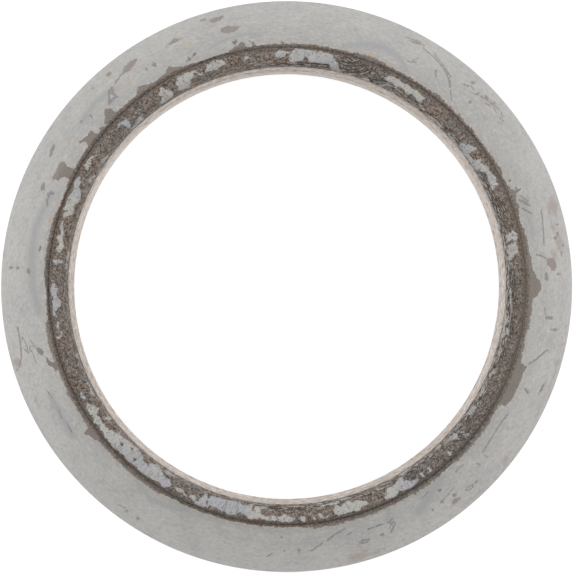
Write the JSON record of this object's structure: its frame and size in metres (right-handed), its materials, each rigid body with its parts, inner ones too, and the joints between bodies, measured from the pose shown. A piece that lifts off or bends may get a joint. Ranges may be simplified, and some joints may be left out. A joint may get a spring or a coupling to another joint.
{
  "type": "exhaust gasket",
  "caption": "Pressed wire-mesh ring gasket for an exhaust pipe joint, with a plain bore, a flat big end and a ball-shaped sealing face.",
  "frame": {"origin": "centre of the flat big end, on the ring's axis", "axes": "+Z along the ring's axis, from the flat big end to the small end; X and Y lie in the plane of the big end"},
  "size_m": [0.0804, 0.0804, 0.016],
  "materials": {
    "coated_mesh": "matt grey coating, worn to brown pressed wire and filler at the small end"
  },
  "bodies": {
    "root": {"gasket_ring": "coated_mesh"}
  },
  "joints": []
}
